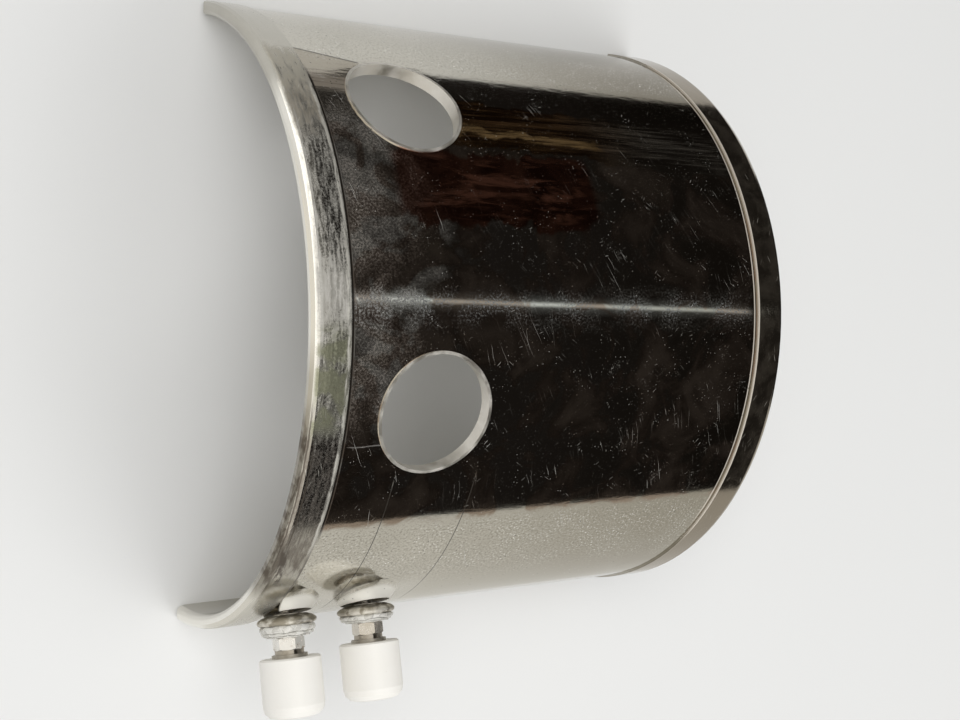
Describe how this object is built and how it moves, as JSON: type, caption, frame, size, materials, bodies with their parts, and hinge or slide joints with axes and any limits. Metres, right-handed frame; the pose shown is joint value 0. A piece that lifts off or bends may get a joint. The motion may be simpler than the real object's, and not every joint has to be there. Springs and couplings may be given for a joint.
{
  "type": "strip heater",
  "caption": "Half-round mica strip heater in a polished steel sheath with folded end hems, lined sensor holes and ceramic-capped terminal posts.",
  "frame": {"origin": "on the axis of the barrel it wraps, at the middle of its width", "axes": "+X along the barrel axis away from the terminals and holes, +Y along the chord of the arc away from the terminals, +Z out through the crest of the arc"},
  "size_m": [0.1428, 0.1786, 0.0784],
  "materials": {
    "sheath_inner": "polished stainless sheet, scuffed along the folded hems",
    "sheath_outer": "mirror polished stainless sheet with fine scratches",
    "mica_sheet": "pressed phlogopite mica sheet",
    "mica_board": "stiff mica board",
    "ribbon_alloy": "rolled nickel chrome ribbon",
    "liner_steel": "bright turned-over stainless liner",
    "nickel_strip": "nickel strip",
    "steel_thread": "plated steel thread",
    "sleeve_ceramic": "unglazed steatite",
    "dull_steel": "dull heat-tinted pressed steel",
    "flaky_mica": "flaking mica edge",
    "nickel_plate": "bright nickel plated",
    "spring_steel": "dark spring steel",
    "zinc_plate": "zinc plated",
    "brass_insert": "machined brass",
    "white_ceramic": "satin white steatite"
  },
  "bodies": {
    "heater": {"inner_sheath": "sheath_inner", "outer_sheath": "sheath_outer", "inner_mica_cover": "mica_sheet", "outer_mica_cover": "mica_sheet", "mica_core": "mica_board", "resistance_ribbon": "ribbon_alloy", "hole_eyelet_upper": "liner_steel", "hole_eyelet_lower": "liner_steel", "contact_plate_a": "nickel_strip", "terminal_stud_a": "steel_thread", "insulating_sleeve_a": "sleeve_ceramic", "cup_washer_a": "dull_steel", "mica_washer_a": "flaky_mica", "hex_nut_a": "nickel_plate", "spring_washer_a": "spring_steel", "contact_plate_b": "nickel_strip", "terminal_stud_b": "steel_thread", "insulating_sleeve_b": "sleeve_ceramic", "cup_washer_b": "dull_steel", "mica_washer_b": "flaky_mica", "hex_nut_b": "nickel_plate", "spring_washer_b": "spring_steel"},
    "washer_a": {"flat_washer_a": "zinc_plate"},
    "cap_a": {"ceramic_cap_a": "white_ceramic", "cap_insert_a": "brass_insert"},
    "washer_b": {"flat_washer_b": "zinc_plate"},
    "cap_b": {"ceramic_cap_b": "white_ceramic", "cap_insert_b": "brass_insert"}
  },
  "joints": [
    {"name": "cap_a_travel", "type": "slide", "parent": "heater", "child": "washer_a", "axis": [0, -0.9397, 0.342], "range_m": [0, 0.0077]},
    {"name": "cap_a_turn", "type": "hinge", "parent": "washer_a", "child": "cap_a", "pos_m": [-0.05781, -0.08653, 0.05516], "axis": [0, -0.9397, 0.342], "range_deg": [0, 3960]},
    {"name": "cap_b_travel", "type": "slide", "parent": "heater", "child": "washer_b", "axis": [0, -0.9397, 0.342], "range_m": [0, 0.0077]},
    {"name": "cap_b_turn", "type": "hinge", "parent": "washer_b", "child": "cap_b", "pos_m": [-0.03525, -0.08653, 0.05516], "axis": [0, -0.9397, 0.342], "range_deg": [0, 3960]}
  ],
  "couplings": [
    {"joint": "cap_a_travel", "follows": "cap_a_turn", "m_per_rad": 0.00011141},
    {"joint": "cap_b_travel", "follows": "cap_b_turn", "m_per_rad": 0.00011141}
  ]
}
